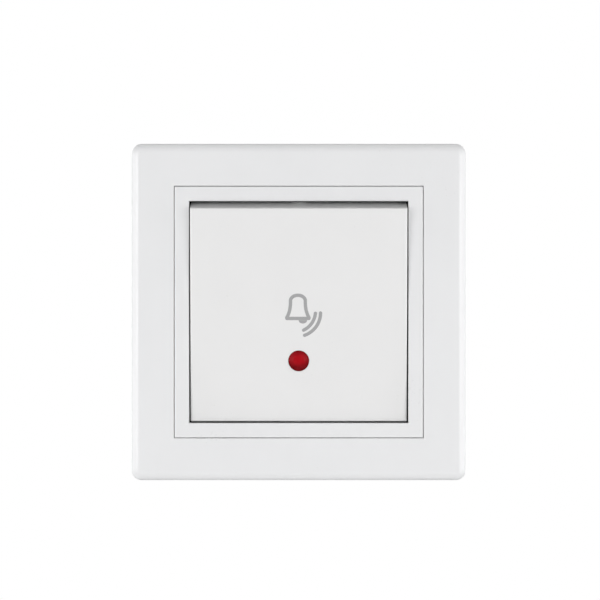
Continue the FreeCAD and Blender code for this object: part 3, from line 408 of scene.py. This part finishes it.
def make_bell_sign():
    """The grey bell with its clapper swung to the right and two sound waves beside it. Where sheets cross,
    their lifts differ, so that no two faces lie in one plane."""
    foot_reach, foot_level = 2.65 * MM, 0.48 * MM
    foot_across = np.linspace(-foot_reach, foot_reach, 12)
    foot = np.stack([foot_across, np.full(len(foot_across), foot_level)], axis=1)
    near_wave = ring_part((-0.84 * MM, 2.22 * MM), 5.08 * MM, -64.2, -5.6)
    far_wave = ring_part((-0.32 * MM, 1.85 * MM), 5.78 * MM, -70.5, -0.5)
    sheets = [stroke(bell_path(), STROKE), stroke(foot, STROKE, 0.8 * SIGN_DEPTH), clapper_sheet(),
              stroke(near_wave, WAVE_STROKE), stroke(far_wave, WAVE_STROKE)]
    add_piece("bell_sign", sheets, sign_grey(), "key")


# Screws and spring

def disc_grid(lines):
    """Points of a square grid drawn out to a unit disc, so that its middle lines stay straight."""
    u, v = np.meshgrid(lines, lines, indexing="ij")
    return u, v, u * np.sqrt(1 - v * v / 2), v * np.sqrt(1 - u * u / 2)


def rim_order(count):
    """Indices of a square grid's border, once round."""
    index = np.arange(count * count).reshape(count, count)
    return np.concatenate([index[0, :-1], index[:-1, -1], index[-1, :0:-1], index[:0:-1, 0]])


def screw_sheets(head_radius, head_thick, crown, radius, length, pitch, cross):
    """A screw along +Y from the seat of its head: a crowned head with a cross or a slot, and a thread
    whose radius falls by a part of the pitch and rises again once per turn along the helix."""
    half_width, arm, wall = 0.16, 0.62, 0.03
    drive_depth = 0.62 * head_thick
    steps_a_turn = 6
    outer = np.array([0.0, half_width - wall, half_width, arm - wall, arm, 0.78, 0.9, 1.0])
    lines = np.concatenate([-outer[:0:-1], outer])
    u, v, across, up = disc_grid(lines)
    inside = half_width - wall / 2
    along_u = (abs(u) < (arm if cross else 2.0)) & (abs(v) < inside)
    along_v = (abs(v) < arm) & (abs(u) < inside) if cross else np.zeros_like(along_u)
    depth = np.where(along_u | along_v, drive_depth, 0.0)
    dome = crown * (1 - across ** 2 - up ** 2)
    face = np.stack([across * head_radius, -head_thick - dome + depth, up * head_radius], axis=-1)
    face = face.reshape(-1, 3)
    count = len(lines)
    rim = rim_order(count)
    angle = np.arctan2(up.reshape(-1)[rim], across.reshape(-1)[rim])
    bevel = head_thick * 0.15
    stations = [(-head_thick, head_radius), (-bevel, head_radius), (0.0, head_radius - bevel), (0.0, radius)]
    thread = np.arange(0, length - pitch, pitch / steps_a_turn)
    depths = np.concatenate([[level for level, _ in stations], thread, [length]])
    radii = np.concatenate([[size for _, size in stations], np.full(len(thread), radius), [radius * 0.7]])
    level, theta = np.meshgrid(depths, angle, indexing="ij")
    phase = (level / pitch - theta / (2 * math.pi)) % 1.0
    cut = pitch * 0.5 * abs(2 * phase - 1)
    grown = np.minimum(1.0, np.maximum(0.0, (level - pitch) / pitch))
    size = radii[:, None] - cut * grown * (level < length - 1e-9)
    rings = np.stack([size * np.cos(theta), level, size * np.sin(theta)], axis=-1).reshape(-1, 3)
    tip = np.array([[0.0, length, 0.0]])
    body_faces = grid_faces(len(depths), len(angle), round_columns=True)
    around = np.arange(len(angle))
    fan = np.stack([around, (around + 1) % len(angle), np.full(len(angle), len(angle))], axis=1)
    end = np.concatenate([rings[-len(angle):], tip])
    return [(face, grid_faces(count, count)), (rings, body_faces), (end, fan)]


def placed(sheets, seat, head="front"):
    """Move a screw's sheets to its seat, with its head towards the front, the top or the rear."""
    moved = []
    for points, faces in sheets:
        across, along, up = points.T
        turned = {"front": (across, along, up), "top": (across, up, -along),
                  "rear": (across, -along, -up)}[head]
        moved.append((np.stack(turned, axis=1) + seat, faces))
    return moved


def make_screws():
    """Claw screws, terminal screws and the three housing screws with their drives and threads."""
    steel = FINISHES["zinc_steel"]
    for word in ("left", "right"):
        low, high = (np.array(corner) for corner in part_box(f"claw_screw_{word}"))
        middle = (low + high) / 2
        seat = np.array([middle[0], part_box("mounting_bridge")[0][1], middle[2]])
        sheets = screw_sheets(head_radius=(high[0] - low[0]) / 2, head_thick=1.55 * MM, crown=0.35 * MM,
                              radius=1.5 * MM, length=high[1] - seat[1], pitch=0.5 * MM, cross=True)
        piece = add_piece(f"claw_screw_{word}_threaded", placed(sheets, seat), steel, "base")
        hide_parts(f"claw_screw_{word}")
        low, high = (np.array(corner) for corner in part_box(f"terminal_screw_{word}"))
        middle = (low + high) / 2
        thick, crown = 1.6 * MM, 0.2 * MM
        seat = np.array([middle[0], middle[1], high[2] - thick - crown])
        sheets = screw_sheets(head_radius=2.0 * MM, head_thick=thick, crown=crown,
                              radius=1.7 * MM, length=seat[2] - low[2], pitch=0.6 * MM, cross=False)
        sheets = placed(sheets, seat, "top")
        piece = add_piece(f"terminal_screw_{word}_threaded", sheets, steel, "base")
        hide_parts(f"terminal_screw_{word}")
    low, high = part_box("housing_screws")
    head, thick, crown = 2.1 * MM, 1.35 * MM, 0.25 * MM
    back = high[1] - thick - crown
    one = screw_sheets(head_radius=head, head_thick=thick, crown=crown,
                       radius=1.15 * MM, length=back - low[1], pitch=0.6 * MM, cross=True)
    sheets = []
    for across, up in ((low[0] + head, low[2] + head), (high[0] - head, low[2] + head),
                       ((low[0] + high[0]) / 2, high[2] - head)):
        sheets += placed(one, np.array([across, back, up]), "rear")
    piece = add_piece("housing_screws_threaded", sheets, steel, "base")
    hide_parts("housing_screws")


def make_return_spring():
    """Round wire on a helix whose end turns lie almost flat: it climbs slowly at both ends."""
    low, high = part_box("return_spring")
    bar_back, seat = low[1], high[1]
    centre = np.array([(low[0] + high[0]) / 2, 0.0, (low[2] + high[2]) / 2])
    turns = 5.5
    wire, radius = 0.3 * MM, 2.7 * MM
    steps, corners = 220, 12
    flat_share, flat_rise = 0.16, 0.09
    share = np.linspace(0, 1, steps)
    rise = np.interp(share, [0, flat_share, 1 - flat_share, 1], [0, flat_rise, 1 - flat_rise, 1])
    path = bar_back + wire + (seat - bar_back - 2 * wire) * rise
    angle = 2 * math.pi * turns * share
    outward = np.stack([np.cos(angle), np.zeros(steps), np.sin(angle)], axis=1)
    middle = centre + radius * outward + np.stack([np.zeros(steps), path, np.zeros(steps)], axis=1)
    along = np.gradient(middle, axis=0)
    along /= np.linalg.norm(along, axis=1)[:, None]
    across = np.cross(along, outward)
    ring = np.linspace(0, 2 * math.pi, corners, endpoint=False)
    points = (middle[:, None] + wire * (np.cos(ring)[None, :, None] * outward[:, None]
                                        + np.sin(ring)[None, :, None] * across[:, None]))
    tube = (points.reshape(-1, 3), grid_faces(steps, corners, round_columns=True))
    around = np.arange(corners)
    fan = np.stack([around, (around + 1) % corners, np.full(corners, corners)], axis=1)
    caps = [(np.concatenate([points[index], middle[index][None]]), fan) for index in (0, -1)]
    piece = add_piece("return_spring_coil", [tube] + caps, FINISHES["spring_steel"], "base")
    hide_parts("return_spring")
    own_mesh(piece)


# Light, floor and camera

def add_softbox(name, place, aim, size, power):
    """A rectangular lamp that faces a point."""
    data = bpy.data.lights.new(name, "AREA")
    data.shape = "RECTANGLE"
    data.size, data.size_y = size
    data.energy = power
    lamp = bpy.data.objects.new(name, data)
    bpy.context.scene.collection.objects.link(lamp)
    towards = np.array(aim) - np.array(place)
    lamp.location = place
    lamp.rotation_euler = Vector(towards).to_track_quat("-Z", "Y").to_euler()


def light_scene():
    """Softboxes left and right of the camera and a weaker pair above them, a pair level with the plate for
    its edges, a pair behind for the housing, a weak one overhead, and a soft surround, which is white to the
    camera and in reflections."""
    for word, side in (("left", -1), ("right", 1)):
        add_softbox(f"front_softbox_{word}", (side * 0.8, -1.1, 0.0), (0, 0, 0), (0.7, 0.35), 6.35)
        add_softbox(f"high_softbox_{word}", (side * 0.8, -1.1, 0.4), (0, 0, 0), (0.5, 0.4), 1.2)
        add_softbox(f"edge_softbox_{word}", (side * 0.8, -0.1, 0.0), (0, 0, 0), (0.5, 0.45), 2.4)
        add_softbox(f"rear_softbox_{word}", (side * 0.9, 1.3, 0.1), (0, 0, 0), (1.3, 1.3), 4.5)
    add_softbox("top_softbox", (0.0, 0.2, 1.6), (0, 0, 0), (0.8, 0.8), 3.0)
    world = bpy.data.worlds.new("surround")
    world.use_nodes = True
    bpy.context.scene.world = world
    nodes, links = world.node_tree.nodes, world.node_tree.links
    surround = nodes["Background"]
    surround.inputs["Strength"].default_value = 0.15
    white = nodes.new("ShaderNodeBackground")
    for background in (surround, white):
        background.inputs["Color"].default_value = (1, 1, 1, 1)
    path = nodes.new("ShaderNodeLightPath")
    seen = path.outputs["Is Camera Ray"]
    for word in ("Is Glossy Ray", "Is Transmission Ray"):
        either = nodes.new("ShaderNodeMath")
        either.operation = "MAXIMUM"
        links.new(seen, either.inputs[0])
        links.new(path.outputs[word], either.inputs[1])
        seen = either.outputs[0]
    choice = nodes.new("ShaderNodeMixShader")
    links.new(seen, choice.inputs[0])
    links.new(surround.outputs[0], choice.inputs[1])
    links.new(white.outputs[0], choice.inputs[2])
    links.new(choice.outputs[0], nodes["World Output"].inputs["Surface"])


def add_floor():
    """A pale floor well below the object, which glows to the camera alone."""
    level = -0.35
    half = 0.7
    mesh = bpy.data.meshes.new("floor")
    mesh.from_pydata([(-half, -half, level), (half, -half, level), (half, half, level), (-half, half, level)],
                     [], [(0, 1, 2, 3)])
    floor = bpy.data.objects.new("floor", mesh)
    bpy.context.scene.collection.objects.link(floor)
    finish = Finish("floor_pale", roughness=0.9, emission_strength=0.75)
    finish.feed("Base Color", finish.blend(finish.noise(9.0), (0.80, 0.80, 0.80), (0.82, 0.82, 0.82)))
    seen = finish.node("ShaderNodeLightPath", {}, {}, "Is Camera Ray")
    finish.feed("Emission Color", finish.blend(seen, (0, 0, 0), (1, 1, 1)))
    mesh.materials.append(finish.material)


def add_camera():
    """Straight in front, a little above the middle and right of it. The frame's width is taken where the
    cover's face lies."""
    face = -11.0 * MM
    frame_width = 144.6 * MM
    right, above = 0.31 * MM, 2.90 * MM
    lens = 150.0
    sensor = 36.0
    data = bpy.data.cameras.new("camera")
    data.lens = lens
    data.sensor_width = sensor
    data.clip_start = 0.05
    camera = bpy.data.objects.new("camera", data)
    camera.location = (right, face - frame_width * lens / sensor, above)
    camera.rotation_euler = (math.pi / 2, 0, 0)
    bpy.context.scene.collection.objects.link(camera)
    bpy.context.scene.camera = camera


dress_nodes()
make_bell_sign()
make_screws()
make_return_spring()
light_scene()
add_floor()
add_camera()
bpy.context.scene.view_settings.view_transform = "Standard"
